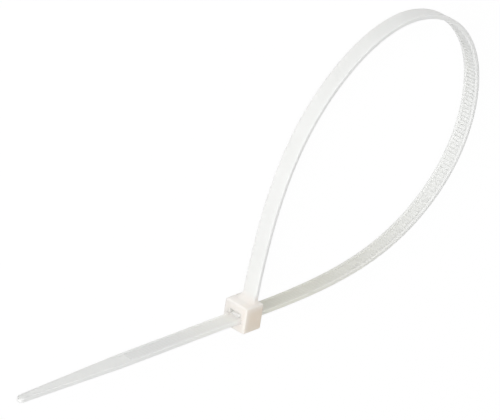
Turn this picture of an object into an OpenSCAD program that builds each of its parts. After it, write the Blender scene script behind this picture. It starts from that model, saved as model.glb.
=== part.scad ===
// Cable tie, closed into a loose loop through its own head and lying on its side.
// One moulding: head, pawl, stem, toothed strap and tapering tail.
// X runs along the slot and the tail points to -X, Y runs along the stem, Z is up.
// The origin is under the middle of the slot, on the head's side face that it lies on.

/* [Strap] */
// Width of the strap
strap_w = 4.8; // [4:0.1:7.6]
// Thickness of the strap over its rails
strap_t = 1.3; // [1.1:0.05:1.6]
// Width of each smooth rail beside the rack
rail_w = 0.8; // [0.5:0.1:1.2]
// Thickness left under the roots of the teeth
web_t = 0.75; // [0.5:0.05:0.9]
// Distance from one tooth to the next
pitch = 1.25; // [1:0.05:1.6]
// Flat on top of each tooth
tooth_land = 0.2; // [0.1:0.05:0.4]
// Lean of each tooth's locking face
tooth_draft = 0.08; // [0:0.02:0.16]
// How far the teeth stay below the rails
crest_drop = 0.05; // [0:0.01:0.15]

/* [Loop] */
// Reach of the loop from the mouth of the slot
loop_reach = 81.5; // [50:0.5:160]
// Height of the loop above the middle of the slot
loop_height = 78.5; // [50:0.5:160]
// Direction in which the stem leaves the head
stem_angle = 87; // [80:1:92]
// Straight pull of the stem before the loop bends
stem_pull = 19.5; // [8:0.5:30]
// Straight pull of the strap before it enters the slot
entry_pull = 8.5; // [5:0.5:20]
// Smooth neck between the head and the first tooth
neck_len = 12; // [6:1:40]

/* [Tail] */
// Length of the tail from the head to the tip
tail_len = 82.5; // [70:0.5:200]
// Length of the rack that has come through the head
rack_out = 41.5; // [10:0.5:60]
// Length of the rib that ends the rack
end_rib = 0.5; // [0.3:0.1:0.8]
// Length over which the channel rises past the last tooth
run_out = 5; // [2:0.5:10]
// Length of the taper
taper_len = 37.5; // [20:0.5:60]
// Width at the tip, which is rounded
tip_w = 2.2; // [1.6:0.1:3.6]

/* [Head] */
// Width of the head across the strap
head_w = 8.2; // [7.6:0.1:12]
// Depth of the head along the slot
head_d = 7; // [6.4:0.1:9]
// Height from the middle of the slot to the face that the stem grows from
head_top = 4.6; // [4.2:0.1:7]
// Height from the middle of the slot to the plain end of the head
head_foot = 3.4; // [2:0.1:5]
// Distance from the mouth of the slot to the middle of the stem
stem_set = 1.6; // [1.3:0.05:2.4]
// Rounding of the edges along the stem
edge_r = 0.5; // [0.3:0.1:1.2]
// Rounding of the other edges
rim_r = 0.5; // [0.2:0.1:0.8]
// Rounding of the edge between the mouth and the stem
brow_r = 0.9; // [0.3:0.1:1.2]
// Fillet between the head and the outer face of the stem
neck_r = 2.4; // [0.8:0.1:3]
// Fillet between the head and the edges of the stem
flare_r = 1.2; // [0.4:0.1:1.6]

/* [Slot and pawl] */
// Play of the strap in the slot, each side of its width
play_w = 0.25; // [0.15:0.05:0.5]
// Play of the strap in the slot, each side of its thickness
play_t = 0.15; // [0.1:0.05:0.3]
// Radius of the round lip that guides the strap in
lip_r = 1.5; // [1.1:0.1:1.6]
// How far the lip stands out from the mouth of the slot
lip_out = 0.9; // [0.3:0.1:1.2]
// Length of the lip across the strap
lip_w = 7; // [5:0.1:7.4]
// Chamfer on the far side of the mouth
mouth_chamfer = 0.6; // [0.2:0.1:1.2]
// Width of the room that the pawl moves in
room_w = 4.2; // [3.6:0.1:5.4]
// Height of the room above the middle of the slot
room_top = 3.3; // [3:0.1:3.5]
// Height of the window above the middle of the slot
window_top = 2.2; // [2.1:0.1:3]
// Thickness of the wall between the room and the mouth
back_wall = 1.3; // [0.8:0.1:1.6]
// Gap between the pawl and each rail
pawl_side = 0.2; // [0.1:0.05:0.4]
// Gap between the pawl's teeth and the rack, along the strap
tooth_gap = 0.06; // [0.04:0.01:0.1]
// Gap between the pawl's teeth and the rack, across the strap
mesh_gap = 0.1; // [0.08:0.01:0.14]
// Number of teeth on the pawl
pawl_teeth = 3; // [2:1:3]
// How far the tip of the pawl sits inside the window
pawl_inset = 0.4; // [0.3:0.1:1]
// Thickness of the pawl at its tip, over the teeth
pawl_tip_t = 1; // [0.5:0.05:1.1]
// Thickness of the pawl's root
root_t = 1.1; // [0.8:0.1:1.3]
// Room above the pawl's root
root_gap = 0.7; // [0.4:0.1:1]

/* [Hidden] */

// Poles of the loop between stem and slot, as shares of its reach and height
loop_poles = [[0.06, 0.73], [0.53, 1.095], [0.99, 0.87], [1.045, 0.355], [0.635, -0.015]];
degree = 3;
spans = len(loop_poles) + 1;
steps = 30;
overlap = 0.8;
over = 1;
skin = 0.05;
arc_steps = 7;

mid_z = head_w / 2;
mouth_x = head_d / 2;
exit_x = -head_d / 2;
half_t = strap_t / 2;
rack_w = strap_w - 2 * rail_w;
root_h = web_t - half_t;
crest_h = half_t - crest_drop;
slot_h = half_t + play_t;
stem_x = mouth_x - stem_set;
lead = [cos(stem_angle), sin(stem_angle)];

// Round stretches and rounded rectangles, as points
function arc(c, r, from, to, n = arc_steps) =
    [for (i = [0 : n]) let (a = from + (to - from) * i / n) c + r * [cos(a), sin(a)]];
function round_box(lo, hi, r) = concat(
    arc([hi[0] - r[0], hi[1] - r[0]], r[0], 0, 90), arc([lo[0] + r[1], hi[1] - r[1]], r[1], 90, 180),
    arc([lo[0] + r[2], lo[1] + r[2]], r[2], 180, 270), arc([hi[0] - r[3], lo[1] + r[3]], r[3], 270, 360));

// The loop's centre line: one smooth cubic spline, pinned to the stem and to the slot
poles = concat(
    [[stem_x, head_top], [stem_x, head_top] + stem_pull * lead],
    [for (p = loop_poles) [mouth_x + p[0] * loop_reach, p[1] * loop_height]],
    [[mouth_x + entry_pull, 0], [mouth_x, 0]]);
function knot(i) = min(max(i - degree, 0), spans);
function share(u, from, to) = to > from ? (u - from) / (to - from) : 0;
function rising(i, k, u) = share(u, knot(i), knot(i + k));
function falling(i, k, u) = knot(i + k) > knot(i) ? 1 - rising(i, k, u) : 0;
function weight(i, k, u) = k == 0 ? (u >= knot(i) && u < knot(i + 1) ? 1 : 0)
    : rising(i, k, u) * weight(i, k - 1, u) + falling(i + 1, k, u) * weight(i + 1, k - 1, u);
function on_loop(u) = u >= spans ? poles[len(poles) - 1]
    : let (first = floor(u)) [for (i = [first : first + degree]) weight(i, degree, u)] *
        [for (i = [first : first + degree]) poles[i]];

// The strap's path: a foot inside the head, then the loop, the slot and the tail
taper_x = exit_x - tail_len + taper_len;
path = concat([[stem_x, head_top] - overlap * lead],
    [for (i = [0 : spans * steps]) on_loop(i / steps)],
    [[exit_x, 0], [taper_x, 0], [exit_x - tail_len, 0]]);
legs = [for (i = [1 : len(path) - 1]) norm(path[i] - path[i - 1])];
stations = [for (i = 0, s = -overlap; i < len(path); s = s + (i < len(legs) ? legs[i] : 0), i = i + 1) s];
along_x = [for (i = [0 : len(path) - 1]) [stations[i], path[i][0]]];
along_y = [for (i = [0 : len(path) - 1]) [stations[i], path[i][1]]];
probe = 0.6;
function at(s) = [lookup(s, along_x), lookup(s, along_y)];
function heading(s) = let (d = at(s + probe) - at(s - probe)) d / norm(d);
// A point h from the centre line, towards the toothed inner face
function beside(s, h) = let (d = heading(s)) at(s) + h * [d[1], -d[0]];

// Lengths along the strap, from the head's top face
mouth_s = stations[len(path) - 4];
exit_s = mouth_s + head_d;
band_s = [for (i = [0 : len(path) - 2]) stations[i]];
tip_x = exit_x + pawl_inset;
lock_s = mouth_s + mouth_x - tip_x + tooth_gap;
first_k = ceil((neck_len - lock_s) / pitch);
last_k = round((exit_s + rack_out - lock_s) / pitch);
function tooth_s(k) = lock_s + k * pitch;
rack_from = tooth_s(first_k);
rack_to = tooth_s(last_k) + tooth_draft + end_rib;

// The rack's profile: each tooth's locking face looks back to the stem
function locking_face(s) = [[s, root_h], [s + tooth_draft, crest_h]];
rack_line = concat(
    [for (k = [first_k : last_k - 1]) each concat(
        locking_face(tooth_s(k)), [[tooth_s(k) + tooth_draft + tooth_land, crest_h]])],
    locking_face(tooth_s(last_k)),
    [[rack_to, crest_h], [rack_to + tooth_draft, root_h], [rack_to + run_out, half_t + crest_drop]]);

module flat_band(width, low = 0) {
    translate([0, 0, mid_z - width / 2]) linear_extrude(width) children();
}

// Strap from the stem's foot to the tip, with the toothed channel sunk in its inner face
module strap() {
    difference() {
        union() {
            flat_band(strap_w) polygon(concat([for (s = band_s) beside(s, half_t)],
                [for (i = [len(band_s) - 1 : -1 : 0]) beside(band_s[i], -half_t)]));
            tail();
        }
        rack_channel();
    }
}

module rack_channel() {
    inside = [for (s = stations) if (s > rack_from && s < rack_to) s];
    flat_band(rack_w) polygon(concat(
        [beside(rack_from - tooth_draft, half_t + over)], [for (p = rack_line) beside(p[0], p[1])],
        [beside(rack_to + run_out, half_t + over)],
        [for (i = [len(inside) - 1 : -1 : 0]) beside(inside[i], half_t + over)]));
}

// Plain tail, tapering to a round tip, with its face level with the rails
module tail() {
    tip_r = tip_w / 2;
    end_x = exit_x - tail_len;
    start_x = taper_x + overlap;
    corner = [taper_len - tip_r, strap_w / 2];
    touch = atan2(corner[1], corner[0]) + acos(tip_r / norm(corner));
    rotate([90, 0, 0]) translate([0, mid_z, -half_t]) linear_extrude(strap_t)
        polygon(concat([[start_x, strap_w / 2], [taper_x, strap_w / 2]],
            arc([end_x + tip_r, 0], tip_r, touch, 360 - touch, 2 * arc_steps),
            [[taper_x, -strap_w / 2], [start_x, -strap_w / 2]]));
}

// Block of the head, rounded along all its edges
module head_block() {
    intersection() {
        linear_extrude(head_w) polygon(
            round_box([exit_x, -head_foot], [mouth_x, head_top], [brow_r, rim_r, rim_r, rim_r]));
        rotate([90, 0, 0]) translate([0, 0, -head_top]) linear_extrude(head_top + head_foot) polygon(
            round_box([exit_x, 0], [mouth_x, head_w], edge_r * [1, 1, 1, 1]));
        rotate([90, 0, 90]) translate([0, 0, exit_x]) linear_extrude(head_d) polygon(
            round_box([-head_foot, 0], [head_top, head_w], rim_r * [1, 1, 1, 1]));
    }
}

// Root of the stem: a fillet to its outer face, and one to each of its edges
module stem_root() {
    side = [lead[1], -lead[0]];
    foot = [stem_x, head_top];
    rise = neck_r / lead[1];
    centre = [foot[0] - half_t / lead[1] + neck_r * lead[0] / lead[1] - rise, head_top + neck_r];
    inner = (half_t - skin) * side;
    base_y = head_top - overlap;
    top_y = head_top + neck_r + over;
    toe_z = strap_w / 2 + flare_r;
    intersection() {
        flat_band(2 * toe_z) polygon(concat([[centre[0], base_y]], arc(centre, neck_r, -90, stem_angle - 90),
            [foot + inner + rise * lead, foot + inner, [foot[0] + inner[0], base_y]]));
        rotate([90, 0, 90]) translate([0, mid_z, exit_x]) linear_extrude(head_d) polygon(concat(
            [[base_y, -toe_z]], arc([head_top + flare_r, -toe_z], flare_r, 180, 90),
            [[top_y, -strap_w / 2], [top_y, strap_w / 2]],
            arc([head_top + flare_r, toe_z], flare_r, -90, -180), [[base_y, toe_z]]));
    }
}

module guide_lip() {
    flat_band(lip_w) translate([mouth_x + lip_out - lip_r, slot_h + lip_r - play_t]) circle(lip_r, $fn = 48);
}

// Slot for the strap, with its mouth opened on the side away from the stem
module slot() {
    flat_band(strap_w + 2 * play_w) polygon([[exit_x - over, -slot_h], [mouth_x - mouth_chamfer, -slot_h],
        [mouth_x + over, -slot_h - mouth_chamfer - over], [mouth_x + lip_out + over, slot_h],
        [exit_x - over, slot_h]]);
}

// Room above the slot that the pawl bends up into, open at the window
module pawl_room() {
    flat_band(room_w) polygon([[exit_x - over, 0], [mouth_x - back_wall, 0], [mouth_x - back_wall, room_top],
        [0, room_top], [exit_x, window_top], [exit_x - over, window_top]]);
}

// Pawl: a tongue from the back wall, with its teeth in the rack
module pawl() {
    root_x = mouth_x - back_wall;
    low = root_h + mesh_gap;
    high = crest_h + mesh_gap;
    heel_x = tip_x + pawl_teeth * pitch;
    root_top = room_top - root_gap;
    flat_band(rack_w - 2 * pawl_side) polygon(concat(
        [for (k = [0 : pawl_teeth - 1]) let (back_x = tip_x + (k + 1) * pitch - tooth_draft)
            each [[tip_x + k * pitch, low], [back_x - tooth_land, high], [back_x, high]]],
        [[heel_x, high], [root_x, root_top - root_t], [root_x + overlap, root_top - root_t],
            [root_x + overlap, root_top], [root_x, root_top],
            [tip_x + pawl_tip_t, high + pawl_tip_t], [tip_x, high + pawl_tip_t / 2]]));
}

module cable_tie() {
    color("ivory") {
        difference() {
            union() {
                head_block();
                guide_lip();
            }
            slot();
            pawl_room();
        }
        stem_root();
        pawl();
        strap();
    }
}

cable_tie();
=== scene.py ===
import bmesh
import bpy
import numpy as np
from bpy.props import FloatProperty, FloatVectorProperty, IntProperty, PointerProperty
from mathutils import Matrix, Vector


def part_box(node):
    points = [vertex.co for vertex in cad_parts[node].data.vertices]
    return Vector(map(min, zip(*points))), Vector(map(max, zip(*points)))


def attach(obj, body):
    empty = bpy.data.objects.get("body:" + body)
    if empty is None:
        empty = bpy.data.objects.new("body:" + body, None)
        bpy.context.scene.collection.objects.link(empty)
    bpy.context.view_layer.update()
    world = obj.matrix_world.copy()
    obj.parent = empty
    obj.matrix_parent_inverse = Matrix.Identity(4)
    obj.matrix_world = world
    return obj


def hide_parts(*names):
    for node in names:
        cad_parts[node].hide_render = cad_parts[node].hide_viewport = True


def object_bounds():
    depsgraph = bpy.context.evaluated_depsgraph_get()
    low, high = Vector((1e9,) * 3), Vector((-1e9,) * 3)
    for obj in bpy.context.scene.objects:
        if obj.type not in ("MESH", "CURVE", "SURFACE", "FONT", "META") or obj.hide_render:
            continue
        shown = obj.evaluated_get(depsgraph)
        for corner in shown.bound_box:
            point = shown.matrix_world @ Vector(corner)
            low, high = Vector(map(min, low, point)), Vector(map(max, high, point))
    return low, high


bl_info = {
    "name": "Nylon cable tie",
    "version": (1, 0, 0),
    "blender": (4, 5, 0),
    "location": "3D View > Sidebar > Cable tie",
    "description": "Builds a nylon cable tie, closed into a loose loop, with its finish and its studio",
    "category": "Add Mesh",
}

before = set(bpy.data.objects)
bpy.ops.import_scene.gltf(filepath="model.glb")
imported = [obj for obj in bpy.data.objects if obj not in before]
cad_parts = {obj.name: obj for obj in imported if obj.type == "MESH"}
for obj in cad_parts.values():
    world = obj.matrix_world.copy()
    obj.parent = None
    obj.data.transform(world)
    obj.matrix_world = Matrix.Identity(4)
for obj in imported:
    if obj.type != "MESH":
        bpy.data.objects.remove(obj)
CAD_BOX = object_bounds()
LOW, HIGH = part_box("cable_tie")

BODY = "root"
NODE = "cable_tie"
PARTS = ("strap", "head", "stem_root", "lip", "pawl")
RUN_MAP, INWARD_MAP = "Run", "Inward"

# Shape
MM = 0.001
MID_Z = (LOW.z + HIGH.z) / 2
NECK_STEP, TAIL_STEP = 0.5 * MM, MM
TUCK = 0.3 * MM  # how far the end of one part reaches into another
CROSSING = 0.03 * MM  # how far the stem's root is sunk into the faces that it joins
FLUSH_STEP = 0.015 * MM  # how far the channel's floor stays below the rails where it is flush
INNER_CUT = 0.12 * MM  # rounding of the corners in the slot and the room
CUT_LOSS = 0.6  # how much the cut of the head's long edges loses where the sides are drawn in
MERGE = 1e-4 * MM  # distance at which doubles are merged
CIRCLE_HANDLE = 0.5523  # handle of the cubic curve that is almost a quarter circle of radius 1
SHARP = np.radians(24)  # angle from which an edge isn't shaded smooth

# Colours: how far they reach, and how much of them there is
FADE = 2.5 * MM  # over which the colours of the head give way
ENTRY_SHADE_REACH = 90 * MM  # over which painted shade makes the strap darker and warmer on its way into the head
ROOT_REACH = 28 * MM  # over which the warmer root of the tail fades
SLOT_LIGHT_FADE = 0.3 * MM  # over which the painted light round the slot and the room fades
FLANK_SHADE_LEAST = 0.4  # share of the painted shade at two edges of the head's side that looks up
UPPER_SHADE = 0.22  # share of the up-facing side's painted shade that the other faces have at their top
SLOT_PAINTED_GLOW = 0.06  # painted glow: emission in the slot and the room, for the light that their walls let through

# Skin and depth of the nylon, with the scale of each pattern in cells to a metre
CLOUD_SCALE, CLOUD_DETAIL, CLOUD_SHADE = 130, 3, 0.05
GRAIN_SCALE, GRAIN_SHARE = 5200, 0.6
FLOW_SCALE, FLOW_SHARE = (60, 2600, 1), 0.8
BUMP_STRENGTH, BUMP_DEPTH = 0.2, 0.01 * MM
ROUGHNESS, ROUGHNESS_RANGE = 0.44, 0.14
NYLON_IOR = 1.53
SCATTER = 1.2 * MM  # mean length of the light's steps in the nylon
EVENING = 3.0  # weight of the rack's facing beside the normals of its teeth

# Studio, in metres, with the directions from the tie to the lamps
KEY_TOWARD = (-0.86, 0.34, 0.38)
FILL_TOWARD = (-0.1, 0.6, 0.8)
BACK_TOWARD = (-0.5, -0.75, 0.5)
KEY_WIDTH, LAMP_SIZE, LAMP_DISTANCE = 4.8, 1.2, 1.5
WHITE_LEVEL, WHITE_SHARE = 1.04, 0.9  # of the white that covers the floor for the camera
FLOOR_HALF, FLOOR_DROP = 5.0, 0.02 * MM
FARTHEST = 20
SENSOR_MM = 36.0
PICTURE_WIDTH = 500  # pixels


def number(name, description, value):
    """Property that holds a plain number."""
    return FloatProperty(name=name, description=description, default=value, precision=4)


def length(name, description, millimetres):
    """Property that holds a length, in metres."""
    return FloatProperty(
        name=name, description=description, default=millimetres * MM, unit="LENGTH", precision=5)


def angle(name, description, degrees):
    """Property that holds an angle, in radians."""
    return FloatProperty(
        name=name, description=description, default=float(np.radians(degrees)), subtype="ANGLE")


def colour(name, description, red, green, blue):
    """Property that holds a colour."""
    return FloatVectorProperty(
        name=name, description=description, default=(red, green, blue), subtype="COLOR", min=0, max=1)


class StrapSizes(bpy.types.PropertyGroup):
    """Sizes of the toothed strap's section and of its rack."""

    width: length("Width", "Width of the strap", 4.8)
    thickness: length("Thickness", "Thickness over the rails", 1.3)
    rail_width: length("Rail width", "Smooth rail on each side of the rack", 0.8)
    web: length("Web", "Thickness left under the roots of the teeth", 0.75)
    pitch: length("Pitch", "Distance from one tooth to the next", 1.25)
    land: length("Land", "Flat on top of each tooth", 0.2)
    draft: length("Draft", "Lean of each tooth's locking face", 0.08)
    crest_drop: length("Crest drop", "How far the teeth stay below the rails", 0.05)
    back_round: length("Back rounding", "Rounding of the smooth face's edges", 0.24)
    rail_round: length("Rail rounding", "Rounding of the rails' outer edges", 0.14)
    channel_round: length("Channel rounding", "Rounding of the rails' inner edges", 0.06)


class LoopSizes(bpy.types.PropertyGroup):
    """Sizes of the loose loop and of the tail that has come through the head."""

    reach: length("Reach", "Reach of the loop from the slot's mouth", 81.5)
    height: length("Height", "Height of the loop above the slot", 78.5)
    stem_angle: angle("Stem angle", "Direction in which the stem leaves the head", 87)
    stem_pull: length("Stem pull", "Straight pull of the stem before the loop bends", 19.5)
    entry_pull: length("Entry pull", "Straight pull of the strap before it enters the slot", 8.5)
    neck: length("Neck", "Smooth neck between the head and the first tooth", 12)
    rack_out: length("Rack out", "Length of the rack that has come through the head", 41.5)
    end_rib: length("End rib", "Length of the rib that ends the rack", 0.5)
    run_out: length("Run-out", "Length over which the channel rises past the rack", 5)
    taper: length("Taper", "Length of the taper", 37.5)
    tip_width: length("Tip width", "Width at the tip, which is rounded", 2.2)


class HeadSizes(bpy.types.PropertyGroup):
    """Sizes of the locking head."""

    depth: length("Depth", "Depth of the head along the slot", 7)
    top: length("Top", "Height from the slot to the face that the stem grows from", 4.6)
    stem_set: length("Stem set", "Distance from the slot's mouth to the stem", 1.6)
    edge_round: length("Edge rounding", "Rounding of the edges along the stem", 0.5)
    rim_round: length("Rim rounding", "Rounding of the other edges", 0.5)
    brow_round: length("Brow rounding", "Rounding of the edge between the mouth and the stem", 0.9)
    neck_fillet: length("Neck fillet", "Fillet to the stem's outer face", 2.4)
    flare_fillet: length("Flare fillet", "Fillet to the stem's edges", 1.2)
    heel_fillet: length("Heel fillet", "Fillet to the stem's inner face", 0.3)
    play_width: length("Side play", "Play beside the strap in the slot", 0.25)
    play_height: length("Face play", "Play over the strap's faces in the slot", 0.15)
    lip_radius: length("Lip radius", "Radius of the lip that guides the strap in", 1.5)
    lip_out: length("Lip stand-out", "How far the lip stands out from the mouth", 0.9)
    lip_width: length("Lip width", "Length of the lip across the strap", 7)
    chamfer: length("Mouth chamfer", "Chamfer on the far side of the mouth", 0.6)
    room_width: length("Room width", "Width of the room that the pawl moves in", 4.2)
    room_top: length("Room top", "Height of the room above the slot's middle", 3.3)
    window_top: length("Window top", "Height of the window above the slot's middle", 2.2)
    back_wall: length("Back wall", "Wall between the room and the mouth", 1.3)
    window_round: length("Window rounding", "Rounding of the window's rim", 0.15)


class PawlSizes(bpy.types.PropertyGroup):
    """Sizes of the pawl, the tongue that locks the strap."""

    side_gap: length("Side gap", "Gap between the pawl and each rail", 0.2)
    tooth_gap: length("Tooth gap", "Gap to the rack along the strap", 0.06)
    mesh_gap: length("Mesh gap", "Gap to the rack across the strap", 0.1)
    teeth: IntProperty(name="Teeth", description="Number of teeth on the pawl", default=3, min=2, max=3)
    inset: length("Inset", "How far the tip sits inside the window", 0.4)
    tip_thickness: length("Tip thickness", "Thickness at the tip, over the teeth", 1)
    root_thickness: length("Root thickness", "Thickness of the root", 1.1)
    root_gap: length("Root gap", "Room above the root", 0.7)
    edge_round: length("Edge rounding", "Rounding of the pawl's edges", 0.05)


class NylonColours(bpy.types.PropertyGroup):
    """Colours of the natural nylon, which is warmer where it is thick, with some painted shade and light."""

    strap: colour("Strap", "Milky nylon of the strap", 0.86, 0.865, 0.85)
    # Painted shade: the strap is darker and warmer where it runs into the head
    entry_shade: colour("Entry", "Strap where it runs into the head", 0.80, 0.793, 0.715)
    head: colour("Head", "Nylon of the head's lit faces", 0.925, 0.885, 0.85)
    # Painted shade: a darker, warmer copy of the head's nylon, for the side of the head that looks up
    shaded_flank: colour("Flank", "Warmer nylon of the head's flank", 0.855, 0.77, 0.66)
    # Painted light: the slot and the room are coloured lighter, for the light that their walls let through
    inside: colour("Inside", "Slot and room, with the light that their walls let through", 0.99, 0.97, 0.92)
    root: colour("Tail root", "Tail where it leaves the head", 0.985, 0.96, 0.885)
    floor: colour("Floor", "White of the floor", 0.9, 0.9, 0.9)


class StudioSizes(bpy.types.PropertyGroup):
    """The camera, with the photograph's angle, and the levels of the light."""

    aim: FloatVectorProperty(
        name="Aim", description="Point in the middle of the picture", subtype="TRANSLATION", precision=5,
        default=(14.34 * MM, 21.82 * MM, -10.90 * MM))
    azimuth: angle("Azimuth", "Turn of the view about Z", -122.65)
    elevation: angle("Elevation", "Height of the view over the floor", 34.45)
    roll: angle("Roll", "Turn of the picture about the view", 119.04)
    distance: length("Distance", "From the camera to the aim", 1200)
    scale: number("Scale", "Pixels of the picture to a millimetre", 3.6237)
    key: number("Key", "Level of the key lamp on a face square to it", 0.535)
    fill: number("Fill", "Level of the lamp from above on a face square to it", 0.12)
    back: number("Back", "Level of the lamp from behind the loop on a face square to it", 0.09)
    sky: number("Sky", "Level of the light from all round", 0.43)


class TieSettings(bpy.types.PropertyGroup):
    """All sizes and colours of the cable tie and its studio."""

    strap: PointerProperty(type=StrapSizes)
    loop: PointerProperty(type=LoopSizes)
    head: PointerProperty(type=HeadSizes)
    pawl: PointerProperty(type=PawlSizes)
    colours: PointerProperty(type=NylonColours)
    studio: PointerProperty(type=StudioSizes)


def spline(poles, count):
    """Cubic B-spline with clamped ends and even knots: the sum of its basis functions times the poles.

    The basis starts as steps, 1 within a span and 0 outside. Each degree blends neighbours by shares that
    rise over one's span and fall over the other's.
    """
    degree = 3
    spans = len(poles) - degree
    knots = np.clip(np.arange(len(poles) + degree + 1) - degree, 0, spans).astype(float)
    u = np.linspace(0, spans, count)
    basis = ((knots[:-1, None] <= u) & (u < knots[1:, None])).astype(float)
    basis[spans + degree - 1, u == spans] = 1
    for k in range(1, degree + 1):
        low, high = knots[:-k - 1, None], knots[k:-1, None]
        rise = np.where(high > low, (u - low) / np.maximum(high - low, 1), 0)
        low, high = knots[1:-k, None], knots[k + 1:, None]
        fall = np.where(high > low, (high - u) / np.maximum(high - low, 1), 0)
        basis = rise * basis[:-1] + fall * basis[1:]
    return basis.T @ poles


def arc(radius, start, stop, count):
    """Points on a circle about the origin, evenly from one angle to another in degrees."""
    turn = np.radians(np.linspace(start, stop, count))
    return radius * np.stack([np.cos(turn), np.sin(turn)], axis=-1)


def rolled(distance, radius):
    """How far a face is drawn in at a distance from its end, where a quarter circle rounds its edge."""
    inside = np.clip(radius - distance, 0, radius)
    return radius - np.sqrt(radius ** 2 - inside ** 2)


def bend_steps(radius, count):
    """Distances from an edge to even steps round the quarter circle that rounds it: r(1 - cos a)."""
    return radius * (1 - np.cos(np.radians(np.linspace(0, 90, count))))


class TiePath:
    """Centre line of the strap: from the stem's foot round the loop, through the slot and on to the tip.

    The loop is one cubic spline, pinned to the stem and to the slot. SHARES places its middle poles from
    the slot's mouth, as shares of the loop's reach and height. Lengths along it count from the head's top
    face. A point beside it lies a height h inward, which is towards the toothed face.
    """

    SHARES = np.array([[0.06, 0.73], [0.53, 1.095], [0.99, 0.87], [1.045, 0.355], [0.635, -0.015]])
    SAMPLES = 6001
    FOOT = 0.8 * MM
    PROBE = 0.2 * MM

    def __init__(self, tie):
        loop, head, pawl = tie.loop, tie.head, tie.pawl
        lead = np.array([np.cos(loop.stem_angle), np.sin(loop.stem_angle)])
        mouth = np.array([head.depth / 2, 0])
        stem = np.array([head.depth / 2 - head.stem_set, head.top])
        middle = mouth + self.SHARES * (loop.reach, loop.height)
        poles = np.vstack([stem, stem + loop.stem_pull * lead, middle, mouth + (loop.entry_pull, 0), mouth])
        self.points = np.vstack([stem - self.FOOT * lead, spline(poles, self.SAMPLES), [LOW.x, 0]])
        legs = np.linalg.norm(np.diff(self.points, axis=0), axis=1)
        self.run = np.concatenate([[0], np.cumsum(legs)]) - self.FOOT
        self.mouth_s, self.tip_s = self.run[-2], self.run[-1]
        self.exit_s = self.mouth_s + head.depth
        self.lock_s = self.exit_s - pawl.inset + pawl.tooth_gap
        self.lean = lead[0] / lead[1]

    def at(self, s):
        """Points at lengths s, between the two samples next to each."""
        return np.stack([np.interp(s, self.run, self.points[:, k]) for k in (0, 1)], axis=-1)

    def inward(self, s):
        """Unit directions square to the path, on the side of the toothed face."""
        along = self.at(s + self.PROBE) - self.at(s - self.PROBE)
        along /= np.linalg.norm(along, axis=-1, keepdims=True)
        return np.stack([along[..., 1], -along[..., 0]], axis=-1)

    def beside(self, s, h):
        """Points at lengths s and heights h from the path."""
        return self.at(s) + h[..., None] * self.inward(s)


def rack_profile(strap, loop, path):
    """Lengths and heights of the channel's floor: a saw of teeth whose steep faces look back to the stem.

    Each tooth rises over its draft to the crest, keeps it over its land and falls to the next root. The
    last one is a longer rib with a steep back, and past it the floor rises until it is flush with the rails.
    """
    root = strap.web - strap.thickness / 2
    crest = strap.thickness / 2 - strap.crest_drop
    flush = strap.thickness / 2 - FLUSH_STEP
    first = np.ceil((loop.neck - path.lock_s) / strap.pitch)
    last = np.round((path.exit_s + loop.rack_out - path.lock_s) / strap.pitch)
    tooth = path.lock_s + strap.pitch * np.arange(first, last + 1)
    lengths = (tooth[:, None] + (0, strap.draft, strap.draft + strap.land)).ravel()
    heights = np.tile([root, crest, crest], len(tooth))
    lengths[-1] = tooth[-1] + strap.draft + loop.end_rib
    rack_end = lengths[-1]
    lengths = np.concatenate([
        [tooth[0] - strap.draft], lengths, [rack_end + strap.draft, rack_end + loop.run_out]])
    return lengths, np.concatenate([[flush], heights, [root, flush]])


def strap_section(strap):
    """Closed section as (z, h) pairs, and a mark on each point of the channel's floor.

    Quarter circles round the smooth face's edges and both edges of each rail. The floor follows the rack.
    """
    half_w, half_t = strap.width / 2, strap.thickness / 2
    rack = half_w - strap.rail_width
    back_r, rail_r, channel_r = strap.back_round, strap.rail_round, strap.channel_round
    back = arc(back_r, -90, 0, count=6) + (half_w - back_r, back_r - half_t)
    rail = arc(rail_r, 0, 90, count=5) + (half_w - rail_r, half_t - rail_r)
    channel = arc(channel_r, 90, 180, count=3) + (rack + channel_r, half_t - channel_r)
    side = np.vstack([[half_w / 2, -half_t], back, rail, channel, [rack, 0], [rack / 2, 0]])
    on_floor = np.concatenate([np.zeros(len(side) - 2), [1, 1]])
    section = np.vstack([[0, -half_t], side, [0, 0], side[::-1] * (-1, 1)])
    return section, np.concatenate([[0], on_floor, [1], on_floor[::-1]])


def strap_half_width(s, strap, loop, path):
    """Half of the strap's width: even, then a straight taper, then the tip's circle.

    The taper touches the circle where the radius is turned from the line to the taper's start by the angle
    whose cosine is the radius over the length of that line.
    """
    radius = loop.tip_width / 2
    start, centre = path.tip_s - loop.taper, path.tip_s - radius
    corner = np.array([centre - start, strap.width / 2])
    touch = np.pi - np.arctan2(corner[1], corner[0]) - np.arccos(radius / np.hypot(*corner))
    touch_s = centre + radius * np.cos(touch)
    line = np.interp(s, [start, touch_s], [strap.width / 2, radius * np.sin(touch)])
    circle = np.sqrt(np.clip(radius ** 2 - (s - centre) ** 2, 0, None))
    return np.where(s > touch_s, circle, line)


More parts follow.
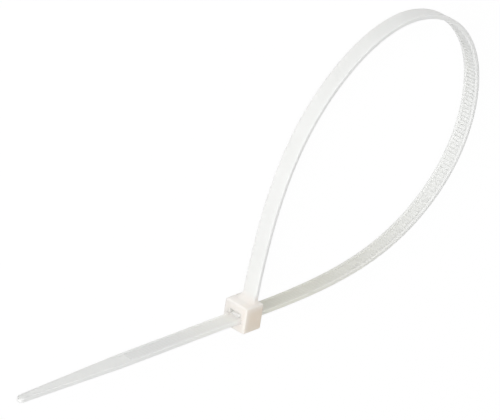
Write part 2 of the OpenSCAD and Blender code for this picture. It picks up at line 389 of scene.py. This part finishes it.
def strap_surface(tie, path):
    """Section carried along the centre line, as a grid of lengths by points of the section.

    Rings stand at every break of the rack. The floor of the section follows the rack, its width follows the
    taper, and over the last stretch both close on the tip as a quarter circle does. With it go two maps:
    Run, the length and the place round the section, and Inward, the direction in x and y that the channel's
    floor faces.
    """
    strap, loop = tie.strap, tie.loop
    breaks, heights = rack_profile(strap, loop, path)
    slopes = ((breaks[1:] + breaks[:-1]) / 2)[np.diff(breaks) > strap.pitch / 2]
    radius = loop.tip_width / 2
    neck = np.arange(-path.FOOT, breaks[0], NECK_STEP)
    tail = np.arange(breaks[-1] + TAIL_STEP, path.tip_s - radius, TAIL_STEP)
    tip = path.tip_s - bend_steps(radius, count=25)[::-1]
    s = np.unique(np.concatenate([neck, breaks, slopes, tail, tip]))
    section, on_floor = strap_section(strap)
    floor = np.interp(s, breaks, heights)[:, None]
    thin = 1 - rolled(path.tip_s - s, strap.back_round) / (strap.thickness / 2)
    h = np.where(on_floor, floor, section[:, 1]) * thin[:, None]
    z = section[:, 0] * strap_half_width(s, strap, loop, path)[:, None] / (strap.width / 2)
    xy = path.beside(s[:, None] + 0 * h, h)
    around = np.concatenate([[0], np.cumsum(np.hypot(*np.diff(section, axis=0).T))])
    run = np.stack(np.broadcast_arrays(s[:, None], around), axis=-1)
    inward = path.inward(s)[:, None] * on_floor[:, None]
    return np.dstack([xy, MID_Z + z]), {RUN_MAP: run, INWARD_MAP: inward}


def rounded_sections(corners, cuts, count=6):
    """Closed sections with round corners, for many stations at once, from corners as (station, corner, 2).

    Each corner gives way to a cubic curve from one cut before it to one cut after it, with handles that
    make it a quarter circle where the corner is square.
    """
    before = np.roll(corners, 1, axis=1) - corners
    after = np.roll(corners, -1, axis=1) - corners
    before /= np.linalg.norm(before, axis=-1, keepdims=True)
    after /= np.linalg.norm(after, axis=-1, keepdims=True)
    cuts = cuts[..., None]
    t = np.linspace(0, 1, count)[:, None]
    weights = ((1 - t) ** 3, 3 * t * (1 - t) ** 2, 3 * t ** 2 * (1 - t), t ** 3)
    inner = cuts * (1 - CIRCLE_HANDLE)
    stops = (corners + cuts * before, corners + inner * before,
             corners + inner * after, corners + cuts * after)
    curve = sum(weight * stop[:, :, None] for weight, stop in zip(weights, stops))
    return curve.reshape(len(corners), -1, 2)


def mirrored(*right):
    """Corners (y, z) of sections that are alike on both sides of z = 0, from those on one side.

    Each is a pair of arrays with a value for each station. The other side's go first, then this side's in
    reverse, so that the corners run round the section.
    """
    around = [(y, -z) for y, z in right] + list(right)[::-1]
    return np.stack([np.stack(np.broadcast_arrays(y, z), axis=-1) for y, z in around], axis=1)


def head_surface(tie):
    """The head as a ring, a grid that closes on itself both ways: stations by points of a rounded section.

    The stations run along the outside from the window to the mouth, in over the mouth, back through the
    slot and the pawl's room, and out over the window. On the two end faces a section passes evenly into the
    next. Where an end's rounding draws the sides in, the cut of the long edges shrinks by CUT_LOSS of that.
    """
    head, strap = tie.head, tie.strap
    end = head.depth / 2
    half_w = (HIGH.z - LOW.z) / 2
    slot_y, slot_z = strap.thickness / 2 + head.play_height, strap.width / 2 + head.play_width
    room_z = head.room_width / 2
    bend = bend_steps(head.edge_round, count=9)
    x = np.concatenate([bend - end, [-end / 3, end / 3], (end - bend)[::-1]])
    to_end = end - np.abs(x)
    draw = rolled(to_end, head.rim_round)
    brow = np.where(x > 0, rolled(to_end, head.brow_round), draw)
    foot, top, side = LOW.y + draw, head.top - brow, half_w - rolled(to_end, head.edge_round)
    outer = mirrored((foot, side), (0 * x, side), (slot_y + 0 * x, side), (top, side))
    cut = np.maximum(head.rim_round - CUT_LOSS * (half_w - side), head.window_round)
    flat = np.full_like(cut, head.window_round)
    outer = rounded_sections(outer, np.stack([cut, flat, flat, cut] * 2, axis=1))

    rim = bend_steps(head.window_round, count=5)
    root_x = end - head.back_wall
    depths = np.unique(np.concatenate([rim, [head.chamfer]]))
    slot_x = np.concatenate([end - depths, [root_x]])
    flare = rolled(end - slot_x, head.window_round)
    low = -slot_y - np.maximum(np.clip(head.chamfer - (end - slot_x), 0, None), flare)
    slot = mirrored((low, slot_z + flare), (slot_y + flare, slot_z + flare),
                    (slot_y + flare, room_z + 0 * flare), (slot_y + flare, room_z / 2 + 0 * flare))
    room_x = np.concatenate([[root_x, 0], [-end / 2], (rim - end)[::-1]])
    flare = rolled(room_x + end, head.window_round)
    roof = np.interp(room_x, [-end, 0], [head.window_top, head.room_top]) + flare
    room = mirrored((-slot_y - flare, slot_z + flare), (slot_y + flare / 2, slot_z + flare),
                    (slot_y + flare / 2, room_z + flare), (roof, room_z + flare))
    inner_x = np.concatenate([slot_x, room_x])
    inner = np.concatenate([slot, room])
    inner = rounded_sections(inner, np.full(inner.shape[:2], INNER_CUT))

    thirds = np.array([1 / 3, 2 / 3])[:, None, None]
    mouth_face = outer[-1] * (1 - thirds) + inner[0] * thirds
    window_face = inner[-1] * (1 - thirds) + outer[0] * thirds
    stations = np.concatenate([x, [end, end], inner_x, [-end, -end]])
    sections = np.concatenate([outer, mouth_face, inner, window_face])
    stations = np.broadcast_to(stations[:, None, None], sections.shape[:2] + (1,))
    return np.dstack([stations, sections]) + (0, 0, MID_Z)


def stem_root_surface(tie, path):
    """Fillet between the head's top face and the stem: the strap's section by steps round a quarter circle.

    Each point of the section moves out along its own direction by r(1 - cos a) and stands r(1 - sin a) over
    the face. The radius r differs with the direction. The whole is sunk a little, so that it crosses both
    surfaces cleanly, and its ends are tucked into the stem and the head.
    """
    strap, head = tie.strap, tie.head
    half_t, half_w = strap.thickness / 2 - CROSSING, strap.width / 2 - CROSSING
    corner = strap.back_round
    points, steps = 8, 13
    quarter = np.concatenate([arc(1, k * 90, k * 90 + 90, points) for k in range(4)])
    signs = np.repeat([[1, 1], [-1, 1], [-1, -1], [1, -1]], points, axis=0)
    section = signs * (half_t - corner, half_w - corner) + corner * quarter
    face_radius = np.where(quarter[:, 0] < 0, head.neck_fillet, head.heel_fillet)
    radius = np.hypot(face_radius * quarter[:, 0], head.flare_fillet * quarter[:, 1])
    turn = np.radians(np.linspace(0, 90, steps))[:, None]
    out = radius * (1 - np.cos(turn))
    rise = radius * (1 - np.sin(turn)) - CROSSING
    out = np.vstack([out[0] - TUCK / 2, out, out[-1]])
    rise = np.vstack([rise[0], rise, rise[-1] - TUCK])
    x = head.depth / 2 - head.stem_set + section[:, 0] + out * quarter[:, 0] + rise * path.lean
    z = MID_Z + section[:, 1] + out * quarter[:, 1]
    return np.dstack([x, head.top + rise, z])


def lip_surface(tie):
    """Round bar across the mouth that guides the strap in.

    Its stations are parts of circles, from the slot's roof up to the crown, whose radius a quarter circle
    rounds off at both ends. Its flat back lies in the wall behind the mouth.
    """
    head, strap = tie.head, tie.strap
    half = head.lip_width / 2
    bend = bend_steps(head.rim_round, count=7)
    z = np.concatenate([bend - half, (half - bend)[::-1]])
    radius = head.lip_radius - rolled(half - np.abs(z), head.rim_round)
    centre_x = head.depth / 2 + head.lip_out - head.lip_radius
    centre_y = strap.thickness / 2 + head.lip_radius
    roof = strap.thickness / 2 + head.play_height
    start = np.arcsin(np.clip((roof - centre_y) / radius, -1, 0))
    steps = 17
    turn = start[:, None] + np.linspace(0, 1, steps) * (np.pi / 2 - start[:, None])
    x = centre_x + radius[:, None] * np.cos(turn)
    y = centre_y + radius[:, None] * np.sin(turn)
    back = np.full((len(z), 2), centre_x - TUCK)
    x, y = np.hstack([x, back]), np.hstack([y, y[:, [-1, 0]]])
    return np.dstack(np.broadcast_arrays(x, y, MID_Z + z[:, None]))


def pawl_surface(tie):
    """Side view of the tongue, carried straight across the strap.

    The teeth stand in step with the rack, a gap short of it. The root reaches into the wall behind the
    room.
    """
    strap, head, pawl = tie.strap, tie.head, tie.pawl
    tip_x = pawl.inset - head.depth / 2
    root_x = head.depth / 2 - head.back_wall
    low = strap.web - strap.thickness / 2 + pawl.mesh_gap
    high = strap.thickness / 2 - strap.crest_drop + pawl.mesh_gap
    start = tip_x + strap.pitch * np.arange(pawl.teeth)
    back = start + strap.pitch - strap.draft
    lows, highs = np.full_like(start, low), np.full_like(start, high)
    teeth = np.stack([start, lows, back - strap.land, highs, back, highs], axis=-1)
    root_top = head.room_top - pawl.root_gap
    root_low = root_top - pawl.root_thickness
    root = [[root_x, root_low], [root_x + TUCK, root_low],
            [root_x + TUCK, root_top], [root_x, root_top]]
    crown = [[tip_x + pawl.tip_thickness, high + pawl.tip_thickness],
             [tip_x, high + pawl.tip_thickness / 2]]
    outline = np.vstack([teeth.reshape(-1, 2), root, crown])
    half = strap.width / 2 - strap.rail_width - pawl.side_gap
    z = MID_Z + np.array([-half, half])[:, None]
    x, y, z = np.broadcast_arrays(outline[:, 0], outline[:, 1], z)
    return np.dstack([x, y, z])


def grid_faces(rows, columns, closed):
    """Quads between neighbours on a grid of points that are numbered row by row.

    Each row closes on itself, and the last row joins the first where the grid is closed.
    """
    r = np.arange(rows if closed else rows - 1)[:, None]
    c = np.arange(columns)
    r2, c2 = (r + 1) % rows, (c + 1) % columns
    quads = [r * columns + c, r * columns + c2, r2 * columns + c2, r2 * columns + c]
    return np.stack(quads, axis=-1).reshape(-1, 4).tolist()


def mesh_of(name, points, ends, maps):
    """Mesh of a grid of points. Its ends are joined to each other, capped, or capped at the start alone.

    Each of the strap's maps is there, with zeros where the grid has none, because the fused parts share
    them.
    """
    rows, columns = points.shape[:2]
    faces = grid_faces(rows, columns, ends == "joined")
    if ends in ("capped", "start"):
        faces.append(list(range(columns))[::-1])
    if ends == "capped":
        faces.append(list(range((rows - 1) * columns, rows * columns)))
    mesh = bpy.data.meshes.new(name)
    mesh.from_pydata(points.reshape(-1, 3), [], faces)
    corner = np.zeros(len(mesh.loops), np.int32)
    mesh.loops.foreach_get("vertex_index", corner)
    for title in (RUN_MAP, INWARD_MAP):
        values = maps.get(title, np.zeros((rows, columns, 2)))
        mesh.uv_layers.new(name=title).data.foreach_set("uv", values.reshape(-1, 2)[corner].ravel())
    return mesh


def add_part(name, points, ends, maps=None):
    """Closed part of the moulding, with its doubles merged and its faces turned outwards."""
    mesh = mesh_of(name, points, ends, maps or {})
    bm = bmesh.new()
    bm.from_mesh(mesh)
    bmesh.ops.remove_doubles(bm, verts=bm.verts, dist=MERGE)
    bmesh.ops.recalc_face_normals(bm, faces=bm.faces)
    bm.to_mesh(mesh)
    bm.free()
    part = bpy.data.objects.new(name, mesh)
    bpy.context.scene.collection.objects.link(part)
    return part


def places(mesh):
    """Set of the places of a mesh's vertices, rounded to the distance at which doubles are merged."""
    flat = np.zeros(3 * len(mesh.vertices), np.float32)
    mesh.vertices.foreach_get("co", flat)
    return set(map(tuple, np.rint(flat.reshape(-1, 3) / MERGE).astype(int).tolist()))


def fuse(name, parts):
    """One closed mesh from parts that reach into each other, by Boolean modifiers on the first.

    A union that fails leaves its part out without a word, so each part has to show in the result.
    """
    first, *others = parts
    for other in others:
        union = first.modifiers.new(other.name, "BOOLEAN")
        union.operation, union.solver, union.object = "UNION", "MANIFOLD", other
    graph = bpy.context.evaluated_depsgraph_get()
    mesh = bpy.data.meshes.new_from_object(first.evaluated_get(graph))
    mesh.name = name
    fused = places(mesh)
    lost = [other.name for other in others if not fused & places(other.evaluated_get(graph).data)]
    if lost:
        raise RuntimeError(f"Parts left out of the {name}: {', '.join(lost)}")
    for part in parts:
        bpy.data.objects.remove(part)
    return mesh


class Wire:
    """Output of a shader node that takes part in sums: each operator adds its Math node."""

    def __init__(self, finish, socket):
        self.finish, self.socket = finish, socket

    def math(self, operation, first, second):
        made = self.finish.node("ShaderNodeMath", {"operation": operation}, {0: first, 1: second})
        return Wire(self.finish, made.outputs[0])

    def __add__(self, other):
        return self.math("ADD", self, other)

    def __sub__(self, other):
        return self.math("SUBTRACT", self, other)

    def __rsub__(self, other):
        return self.math("SUBTRACT", other, self)

    def __mul__(self, other):
        return self.math("MULTIPLY", self, other)

    def __or__(self, other):
        return self.math("MAXIMUM", self, other)

    __radd__, __rmul__, __ror__ = __add__, __mul__, __or__


class Finish:
    """A node tree under construction, for a material or for the world."""

    def __init__(self, owner):
        owner.use_nodes = True
        self.tree = owner.node_tree
        self.tree.nodes.clear()

    def node(self, kind, settings=None, values=None):
        """Adds a node, gives it its settings first and then the values or links of its sockets."""
        made = self.tree.nodes.new(kind)
        for name, value in (settings or {}).items():
            setattr(made, name, value)
        for name, value in (values or {}).items():
            if isinstance(value, Wire):
                self.tree.links.new(value.socket, made.inputs[name])
            else:
                made.inputs[name].default_value = value
        return made

    def wire(self, kind, output, settings=None, values=None):
        """One output of a new node."""
        return Wire(self, self.node(kind, settings, values).outputs[output])

    def uv(self, title):
        """The piece's own map of that name."""
        return self.wire("ShaderNodeUVMap", "UV", {"uv_map": title})

    def split(self, vector):
        """The three numbers of a vector."""
        return [Wire(self, out) for out in self.node("ShaderNodeSeparateXYZ", values={0: vector}).outputs]

    def vector_math(self, operation, *vectors, output="Vector"):
        """Result of an operation on vectors, which is a number for some."""
        return self.wire("ShaderNodeVectorMath", output, {"operation": operation}, dict(enumerate(vectors)))

    def noise(self, vector, scale, detail=2):
        """Cloudy noise about one half, with the scale's number of cells to a unit of the vector."""
        return self.wire("ShaderNodeTexNoise", "Fac", {"noise_dimensions": "3D"}, {
            "Vector": vector, "Scale": scale, "Detail": detail})

    def ease(self, value, low, high):
        """0 below one value and 1 above another, with a smooth step between them."""
        return self.wire("ShaderNodeMapRange", "Result", {"interpolation_type": "SMOOTHSTEP"}, {
            "Value": value, "From Min": low, "From Max": high})

    def within(self, value, low, high, fade):
        """1 between two values and 0 past them, with a smooth step as wide as the fade outside each."""
        return self.ease(value, low - fade, low) * (1 - self.ease(value, high, high + fade))

    def blend(self, share, first, second, kind="MIX"):
        """Colour between two others, or their product. The node's colours are its sockets 6, 7 and 2."""
        return self.wire("ShaderNodeMix", 2, {"data_type": "RGBA", "blend_type": kind}, {
            0: share, 6: first, 7: second})

    def grey(self, value):
        """Colour with the value in all its channels."""
        return self.wire("ShaderNodeCombineColor", 0, values={0: value, 1: value, 2: value})


def rgba(colour):
    """Opaque colour, as the sockets take it."""
    return (*colour, 1.0)


def strap_colour(tie, finish, x, length_along):
    """Milky, with painted shade that makes it darker and warmer towards the head where the strap runs in,
    and warmer on the tail just past it.

    The painted shade holds from the mouth on, so it is taken back across the head, by x.
    """
    colours, path, half = tie.colours, TiePath(tie), tie.head.depth / 2
    entry_shade = finish.ease(length_along, path.mouth_s - ENTRY_SHADE_REACH, path.mouth_s)
    root = finish.ease(length_along, path.mouth_s, path.exit_s)
    root = root * (1 - finish.ease(length_along, path.exit_s, path.exit_s + ROOT_REACH))
    body = finish.blend(entry_shade, rgba(colours.strap), rgba(colours.entry_shade))
    body = finish.blend(entry_shade * (1 - finish.ease(x, -half, half)), body, rgba(colours.strap))
    return finish.blend(root, body, rgba(colours.root))


def flank_shade_share(head, finish, x, y, z):
    """Share of the painted shade on the head's side that looks up: 1 on that face, least at its window end
    and top.
    """
    half = head.depth / 2
    deep = finish.ease(x, -half, -half + FADE) * (1 - finish.ease(y, head.top - FADE, head.top))
    facing_up = finish.ease(z, HIGH.z - head.edge_round, HIGH.z)
    return facing_up * (FLANK_SHADE_LEAST + (1 - FLANK_SHADE_LEAST) * deep)


def slot_light_share(tie, finish, x, y, z):
    """1 in the block of space that holds the slot and the pawl's room, where light is painted, and 0 outside
    it.
    """
    end, side = tie.head.depth / 2 - SLOT_LIGHT_FADE, tie.strap.width / 2 + SLOT_LIGHT_FADE
    inside = finish.within(x, -end, end, SLOT_LIGHT_FADE)
    inside = inside * finish.within(y, -tie.strap.thickness, tie.head.room_top, SLOT_LIGHT_FADE)
    return inside * finish.within(z, MID_Z - side, MID_Z + side, SLOT_LIGHT_FADE)


def skin_normal(finish, where, run, inward):
    """Normal of the satin skin: a fine grain, and flow lines along the strap.

    On the rack it starts from the tooth's own normal plus EVENING times the direction that the rack faces.
    The teeth are then lit almost like the smooth face that the light in the thin web makes of them.
    """
    along = finish.wire("ShaderNodeMapping", "Vector", values={0: run, "Scale": FLOW_SCALE})
    height = GRAIN_SHARE * finish.noise(where, GRAIN_SCALE) + FLOW_SHARE * finish.noise(along, 1)
    own = finish.wire("ShaderNodeNewGeometry", "Normal")
    evened = finish.vector_math("MULTIPLY_ADD", inward, (EVENING, EVENING, EVENING), own)
    return finish.wire("ShaderNodeBump", "Normal", values={
        "Strength": BUMP_STRENGTH,
        "Distance": BUMP_DEPTH,
        "Height": height,
        "Normal": finish.vector_math("NORMALIZE", evened),
    })


def natural_nylon(tie):
    """Natural nylon: milky and a little translucent, with a satin skin and soft clouds in its depth.

    The strap's colour gives way to the head's within the block, which has painted shade, darkest and
    warmest on the side that looks up. The slot and the room are painted lighter and glow a little, painted
    light for the light that their walls let through. The rack lets shadow rays pass, because light goes
    through its small teeth.
    """
    colours, head = tie.colours, tie.head
    material = bpy.data.materials.new("natural_nylon")
    finish = Finish(material)
    where = finish.wire("ShaderNodeTexCoord", "Object")
    run, inward = finish.uv(RUN_MAP), finish.uv(INWARD_MAP)
    x, y, z = finish.split(where)
    clouds = finish.noise(where, CLOUD_SCALE, CLOUD_DETAIL)
    end = head.depth / 2
    block = finish.within(x, -end, end, FADE) * (1 - finish.ease(y, head.top, head.top + head.neck_fillet))
    # Painted shade: a darker, warmer copy of the head's nylon on its side that looks up, and a little on its
    # upper half
    shaded_flank = flank_shade_share(head, finish, x, y, z)
    inside = slot_light_share(tie, finish, x, y, z) * (1 - shaded_flank)
    flank_shade = shaded_flank | UPPER_SHADE * finish.ease(z, MID_Z, HIGH.z)
    shaded_head = finish.blend(flank_shade, rgba(colours.head), rgba(colours.shaded_flank))
    body = finish.blend(block, strap_colour(tie, finish, x, finish.split(run)[0]), shaded_head)
    # Painted light: the slot and the room are made lighter
    body = finish.blend(inside, body, rgba(colours.inside))
    shade = finish.grey(1 - CLOUD_SHADE / 2 + CLOUD_SHADE * clouds)
    nylon = finish.wire("ShaderNodeBsdfPrincipled", "BSDF", {"subsurface_method": "RANDOM_WALK"}, {
        "Base Color": finish.blend(1.0, body, shade, "MULTIPLY"),
        "Roughness": ROUGHNESS + ROUGHNESS_RANGE * clouds,
        "Normal": skin_normal(finish, where, run, inward),
        "IOR": NYLON_IOR,
        "Subsurface Weight": 1.0,
        "Subsurface Radius": (1.0, 1.0, 1.0),
        "Subsurface Scale": SCATTER,
        # Painted glow in the slot and the room, for the light that their walls let through
        "Emission Color": finish.grey(SLOT_PAINTED_GLOW * inside),
        "Emission Strength": 1.0,
    })
    on_rack = finish.vector_math("LENGTH", inward, output="Value")
    shadow = finish.wire("ShaderNodeLightPath", "Is Shadow Ray")
    clear = finish.wire("ShaderNodeBsdfTransparent", "BSDF")
    surface = finish.wire("ShaderNodeMixShader", "Shader", values={0: on_rack * shadow, 1: nylon, 2: clear})
    finish.node("ShaderNodeOutputMaterial", values={"Surface": surface})
    return material


def background_seen(finish):
    """1 for rays that show the background: straight from the camera, mirrored or passed on."""
    path = finish.node("ShaderNodeLightPath")
    camera_ray, glossy, passed = [
        Wire(finish, path.outputs[name])
        for name in ("Is Camera Ray", "Is Glossy Ray", "Is Transmission Ray")]
    return camera_ray | glossy | passed


def white_floor(tie):
    """White for rays that show the background, with a trace of shadow, and plain for all other light."""
    material = bpy.data.materials.new("white_floor")
    finish = Finish(material)
    seen = background_seen(finish)
    plain = finish.wire("ShaderNodeBsdfDiffuse", "BSDF", values={"Color": rgba(tie.colours.floor)})
    glow = finish.wire("ShaderNodeEmission", "Emission", values={
        "Color": (1, 1, 1, 1), "Strength": WHITE_LEVEL})
    mixed = finish.wire("ShaderNodeMixShader", "Shader", values={0: WHITE_SHARE * seen, 1: plain, 2: glow})
    finish.node("ShaderNodeOutputMaterial", values={"Surface": mixed})
    return material


def light_room(tie):
    """Even light from all round, behind a white background."""
    world = bpy.data.worlds.new("studio")
    bpy.context.scene.world = world
    finish = Finish(world)
    seen = background_seen(finish)
    level = seen + (1 - seen) * tie.studio.sky
    sky = finish.wire("ShaderNodeBackground", "Background", values={
        "Color": (1, 1, 1, 1), "Strength": level})
    finish.node("ShaderNodeOutputWorld", values={"Surface": sky})


def lamp(name, direction, level, width):
    """Soft lamp, aimed at the loop's middle, whose power gives the level on a face square to it.

    The ends of a wide lamp are farther off and seen aslant. With half its width seen at an angle a, the
    share that is left of a narrow lamp's light is (a + sin a cos a) / (2 tan a).
    """
    data = bpy.data.lights.new(name, "AREA")
    data.shape, data.size, data.size_y = "RECTANGLE", width, LAMP_SIZE
    spread = np.arctan(width / 2 / LAMP_DISTANCE)
    share = (spread + np.sin(spread) * np.cos(spread)) / (2 * np.tan(spread))
    data.energy = level / share * np.pi ** 2 * LAMP_DISTANCE ** 2
    lit = bpy.data.objects.new(name, data)
    toward = Vector(direction).normalized()
    lit.rotation_euler = toward.to_track_quat("Z", "Y").to_euler()
    middle = (Vector(CAD_BOX[0]) + Vector(CAD_BOX[1])) / 2
    lit.location = middle + toward * LAMP_DISTANCE
    bpy.context.scene.collection.objects.link(lit)


def camera(studio):
    """Long lens at the photograph's angle: the view's turn and height, then the roll of the picture."""
    az, el = studio.azimuth, studio.elevation
    back = Vector((np.sin(az) * np.cos(el), -np.cos(az) * np.cos(el), np.sin(el)))
    level = Vector((0, 0, 1)).cross(back).normalized()
    upright = back.cross(level)
    right = np.cos(studio.roll) * level + np.sin(studio.roll) * upright
    up = back.cross(right)
    data = bpy.data.cameras.new("camera")
    data.sensor_width = SENSOR_MM
    data.lens = SENSOR_MM * studio.scale * studio.distance / MM / PICTURE_WIDTH
    data.clip_end = FARTHEST
    made = bpy.data.objects.new("camera", data)
    turn = Matrix((right, up, back)).transposed().to_4x4()
    made.matrix_world = Matrix.Translation(Vector(studio.aim) + back * studio.distance) @ turn
    bpy.context.scene.collection.objects.link(made)
    bpy.context.scene.camera = made


def floor_plate(tie):
    """Square floor just under the part."""
    corners = [(x * FLOOR_HALF, y * FLOOR_HALF, -FLOOR_DROP)
               for x, y in ((-1, -1), (1, -1), (1, 1), (-1, 1))]
    mesh = bpy.data.meshes.new("floor")
    mesh.from_pydata(corners, [], [(0, 1, 2, 3)])
    mesh.materials.append(white_floor(tie))
    return bpy.data.objects.new("floor", mesh)


class CABLE_TIE_OT_studio(bpy.types.Operator):
    """Add the camera, the floor and the soft light."""

    bl_idname = "cable_tie.studio"
    bl_label = "Studio"

    def execute(self, context):
        tie = context.scene.cable_tie
        camera(tie.studio)
        floor = floor_plate(tie)
        context.scene.collection.objects.link(floor)
        light_room(tie)
        lamp("key_lamp", KEY_TOWARD, tie.studio.key, KEY_WIDTH)
        lamp("fill_lamp", FILL_TOWARD, tie.studio.fill, LAMP_SIZE)
        lamp("back_lamp", BACK_TOWARD, tie.studio.back, LAMP_SIZE)
        context.scene.view_settings.view_transform = "Standard"
        return {"FINISHED"}


class CABLE_TIE_OT_strap(bpy.types.Operator):
    """Add the toothed strap, from the stem's foot to the tip of the tail."""

    bl_idname = "cable_tie.strap"
    bl_label = "Strap"

    def execute(self, context):
        tie = context.scene.cable_tie
        points, maps = strap_surface(tie, TiePath(tie))
        add_part("strap", points, "start", maps)
        return {"FINISHED"}


class CABLE_TIE_OT_head(bpy.types.Operator):
    """Add the head: its block with slot and window, the guiding lip and the stem's root."""

    bl_idname = "cable_tie.head"
    bl_label = "Head"

    def execute(self, context):
        tie = context.scene.cable_tie
        add_part("head", head_surface(tie), "joined")
        add_part("stem_root", stem_root_surface(tie, TiePath(tie)), "capped")
        add_part("lip", lip_surface(tie), "capped")
        return {"FINISHED"}


class CABLE_TIE_OT_pawl(bpy.types.Operator):
    """Add the pawl inside the head."""

    bl_idname = "cable_tie.pawl"
    bl_label = "Pawl"

    def execute(self, context):
        tie = context.scene.cable_tie
        bevel = add_part("pawl", pawl_surface(tie), "capped").modifiers.new("round edges", "BEVEL")
        bevel.width = tie.pawl.edge_round
        bevel.segments = 2
        return {"FINISHED"}


class CABLE_TIE_OT_moulding(bpy.types.Operator):
    """Fuse strap, head and pawl into the one moulding that they are, and give it its finish."""

    bl_idname = "cable_tie.moulding"
    bl_label = "Moulding"

    def execute(self, context):
        tie = context.scene.cable_tie
        mesh = fuse("moulding", [bpy.data.objects[part] for part in PARTS])
        mesh.shade_smooth()
        mesh.set_sharp_from_angle(angle=SHARP)
        mesh.materials.clear()
        mesh.materials.append(natural_nylon(tie))
        moulding = bpy.data.objects.new("moulding", mesh)
        context.scene.collection.objects.link(moulding)
        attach(moulding, BODY)
        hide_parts(NODE)
        return {"FINISHED"}


class CABLE_TIE_PT_panel(bpy.types.Panel):
    """Sizes, colours and pieces of the cable tie."""

    bl_label = "Cable tie"
    bl_idname = "CABLE_TIE_PT_panel"
    bl_space_type = "VIEW_3D"
    bl_region_type = "UI"
    bl_category = "Cable tie"

    def draw(self, context):
        tie = context.scene.cable_tie
        for group in (tie.strap, tie.loop, tie.head, tie.pawl, tie.colours, tie.studio):
            box = self.layout.box()
            box.label(text=group.bl_rna.name)
            for name in group.__annotations__:
                box.prop(group, name)
        for operator in OPERATORS:
            self.layout.operator(operator.bl_idname)


OPERATORS = (CABLE_TIE_OT_studio, CABLE_TIE_OT_strap, CABLE_TIE_OT_head, CABLE_TIE_OT_pawl,
             CABLE_TIE_OT_moulding)
CLASSES = (StrapSizes, LoopSizes, HeadSizes, PawlSizes, NylonColours, StudioSizes, TieSettings,
           *OPERATORS, CABLE_TIE_PT_panel)


def register():
    """Makes the classes known and gives each scene its settings."""
    for made in CLASSES:
        bpy.utils.register_class(made)
    bpy.types.Scene.cable_tie = PointerProperty(type=TieSettings)


def unregister():
    """Takes back what register does, in reverse."""
    del bpy.types.Scene.cable_tie
    for made in reversed(CLASSES):
        bpy.utils.unregister_class(made)


def main():
    """Builds the tie in its studio."""
    register()
    bpy.ops.cable_tie.studio()
    bpy.ops.cable_tie.strap()
    bpy.ops.cable_tie.head()
    bpy.ops.cable_tie.pawl()
    bpy.ops.cable_tie.moulding()


if __name__ == "__main__":
    main()
